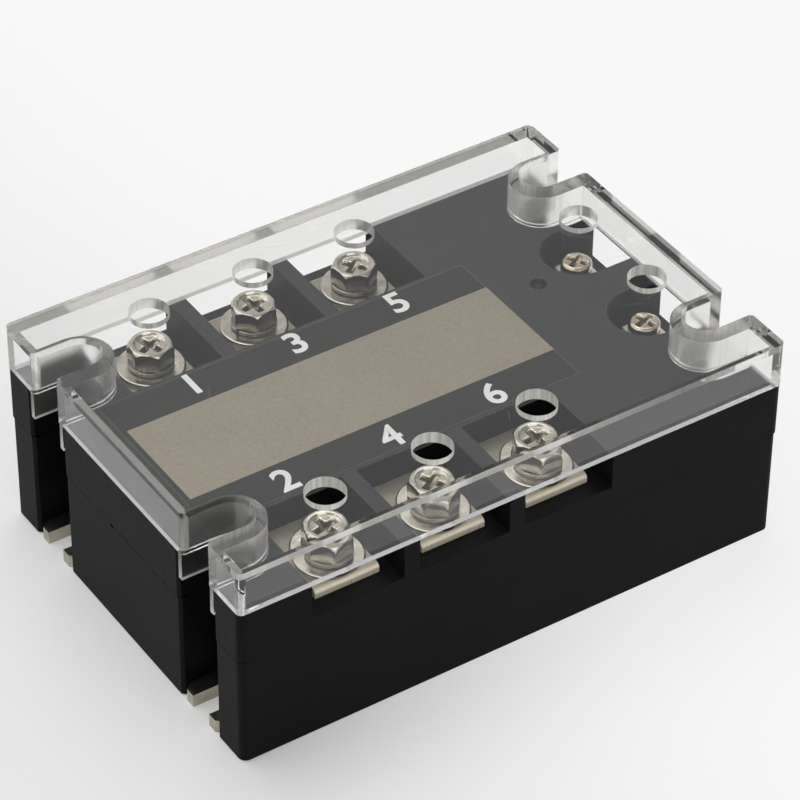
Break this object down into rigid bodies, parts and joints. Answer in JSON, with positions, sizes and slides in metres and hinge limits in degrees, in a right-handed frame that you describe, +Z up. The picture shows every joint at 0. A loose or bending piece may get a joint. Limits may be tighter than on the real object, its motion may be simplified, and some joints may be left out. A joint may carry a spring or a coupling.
{
  "type": "solid state relay",
  "caption": "Three-phase solid state relay: slab-shaped black case on a metal base plate, screw terminals in side bays, clip-on clear cover with driver holes.",
  "frame": {"origin": "centre of the base plate's underside", "axes": "+X along the length towards the control end, +Y across towards the line-side terminals, +Z up out of the heatsink"},
  "size_m": [0.105, 0.0734, 0.0402],
  "materials": {
    "plated_base": "satin nickel plate",
    "black_case": "matte, fine grain",
    "clear_plastic": "clear, polished",
    "label_foil": "printed foil",
    "zinc_steel": "zinc plated",
    "nickel_steel": "nickel plated",
    "tinned_strap": "tinned",
    "copper_clip": "bare copper",
    "board_laminate": "solder mask",
    "chip_plastic": "moulded epoxy",
    "resistor_body": "lacquered",
    "capacitor_body": "moulded box",
    "varistor_body": "epoxy dipped",
    "led_lens": "tinted epoxy",
    "ceramic_white": "sintered ceramic",
    "silicon_grey": "silicon"
  },
  "bodies": {
    "relay": {"base_plate": "plated_base", "lower_housing": "black_case", "upper_housing": "black_case", "rating_label": "label_foil", "captive_nuts": "zinc_steel", "control_nuts": "zinc_steel", "gate_pins": "copper_clip", "control_board": "board_laminate", "optocoupler_drivers": "chip_plastic", "snubber_resistors": "resistor_body", "snubber_capacitors": "capacitor_body", "varistors": "varistor_body", "input_regulator": "chip_plastic", "status_led": "led_lens", "load_terminal_l1": "tinned_strap", "load_terminal_l2": "tinned_strap", "load_terminal_l3": "tinned_strap", "load_terminal_t1": "tinned_strap", "load_terminal_t2": "tinned_strap", "load_terminal_t3": "tinned_strap", "control_terminal_plus": "tinned_strap", "control_terminal_minus": "tinned_strap", "ceramic_substrate_1": "ceramic_white", "thyristor_dies_1": "silicon_grey", "cathode_clips_1": "copper_clip", "ceramic_substrate_2": "ceramic_white", "thyristor_dies_2": "silicon_grey", "cathode_clips_2": "copper_clip", "ceramic_substrate_3": "ceramic_white", "thyristor_dies_3": "silicon_grey", "cathode_clips_3": "copper_clip"},
    "cover": {"clear_cover": "clear_plastic"},
    "washers_l1": {"captive_washers_l1": "nickel_steel"},
    "screw_l1": {"terminal_screw_l1": "nickel_steel"},
    "washers_l2": {"captive_washers_l2": "nickel_steel"},
    "screw_l2": {"terminal_screw_l2": "nickel_steel"},
    "washers_l3": {"captive_washers_l3": "nickel_steel"},
    "screw_l3": {"terminal_screw_l3": "nickel_steel"},
    "washers_t1": {"captive_washers_t1": "nickel_steel"},
    "screw_t1": {"terminal_screw_t1": "nickel_steel"},
    "washers_t2": {"captive_washers_t2": "nickel_steel"},
    "screw_t2": {"terminal_screw_t2": "nickel_steel"},
    "washers_t3": {"captive_washers_t3": "nickel_steel"},
    "screw_t3": {"terminal_screw_t3": "nickel_steel"},
    "clamp_plus": {"control_clamp_plus": "nickel_steel"},
    "control_screw_plus": {"control_screw_plus": "nickel_steel"},
    "clamp_minus": {"control_clamp_minus": "nickel_steel"},
    "control_screw_minus": {"control_screw_minus": "nickel_steel"}
  },
  "joints": [
    {"name": "cover_lift", "type": "slide", "parent": "relay", "child": "cover", "axis": [0, 0, 1], "range_m": [0, 0.02]},
    {"name": "washers_rise_l1", "type": "slide", "parent": "relay", "child": "washers_l1", "axis": [0, 0, 1], "range_m": [0, 0.0049]},
    {"name": "screw_turn_l1", "type": "hinge", "parent": "washers_l1", "child": "screw_l1", "pos_m": [-0.0306, 0.0271, 0.0289], "axis": [0, 0, 1], "range_deg": [0, 2520]},
    {"name": "washers_rise_l2", "type": "slide", "parent": "relay", "child": "washers_l2", "axis": [0, 0, 1], "range_m": [0, 0.0049]},
    {"name": "screw_turn_l2", "type": "hinge", "parent": "washers_l2", "child": "screw_l2", "pos_m": [-0.0105, 0.0271, 0.0289], "axis": [0, 0, 1], "range_deg": [0, 2520]},
    {"name": "washers_rise_l3", "type": "slide", "parent": "relay", "child": "washers_l3", "axis": [0, 0, 1], "range_m": [0, 0.0049]},
    {"name": "screw_turn_l3", "type": "hinge", "parent": "washers_l3", "child": "screw_l3", "pos_m": [0.0096, 0.0271, 0.0289], "axis": [0, 0, 1], "range_deg": [0, 2520]},
    {"name": "washers_rise_t1", "type": "slide", "parent": "relay", "child": "washers_t1", "axis": [0, 0, 1], "range_m": [0, 0.0049]},
    {"name": "screw_turn_t1", "type": "hinge", "parent": "washers_t1", "child": "screw_t1", "pos_m": [-0.0306, -0.0271, 0.0289], "axis": [0, 0, 1], "range_deg": [0, 2520]},
    {"name": "washers_rise_t2", "type": "slide", "parent": "relay", "child": "washers_t2", "axis": [0, 0, 1], "range_m": [0, 0.0049]},
    {"name": "screw_turn_t2", "type": "hinge", "parent": "washers_t2", "child": "screw_t2", "pos_m": [-0.0105, -0.0271, 0.0289], "axis": [0, 0, 1], "range_deg": [0, 2520]},
    {"name": "washers_rise_t3", "type": "slide", "parent": "relay", "child": "washers_t3", "axis": [0, 0, 1], "range_m": [0, 0.0049]},
    {"name": "screw_turn_t3", "type": "hinge", "parent": "washers_t3", "child": "screw_t3", "pos_m": [0.0096, -0.0271, 0.0289], "axis": [0, 0, 1], "range_deg": [0, 2520]},
    {"name": "clamp_rise_plus", "type": "slide", "parent": "relay", "child": "clamp_plus", "axis": [0, 0, 1], "range_m": [0, 0.004]},
    {"name": "screw_turn_plus", "type": "hinge", "parent": "clamp_plus", "child": "control_screw_plus", "pos_m": [0.0439, 0.0099, 0.0278], "axis": [0, 0, 1], "range_deg": [0, 2880]},
    {"name": "clamp_rise_minus", "type": "slide", "parent": "relay", "child": "clamp_minus", "axis": [0, 0, 1], "range_m": [0, 0.004]},
    {"name": "screw_turn_minus", "type": "hinge", "parent": "clamp_minus", "child": "control_screw_minus", "pos_m": [0.0439, -0.0099, 0.0278], "axis": [0, 0, 1], "range_deg": [0, 2880]}
  ],
  "couplings": [
    {"joint": "screw_turn_l1", "follows": "washers_rise_l1", "rad_per_m": 8976},
    {"joint": "screw_turn_l2", "follows": "washers_rise_l2", "rad_per_m": 8976},
    {"joint": "screw_turn_l3", "follows": "washers_rise_l3", "rad_per_m": 8976},
    {"joint": "screw_turn_t1", "follows": "washers_rise_t1", "rad_per_m": 8976},
    {"joint": "screw_turn_t2", "follows": "washers_rise_t2", "rad_per_m": 8976},
    {"joint": "screw_turn_t3", "follows": "washers_rise_t3", "rad_per_m": 8976},
    {"joint": "screw_turn_plus", "follows": "clamp_rise_plus", "rad_per_m": 12566},
    {"joint": "screw_turn_minus", "follows": "clamp_rise_minus", "rad_per_m": 12566}
  ]
}
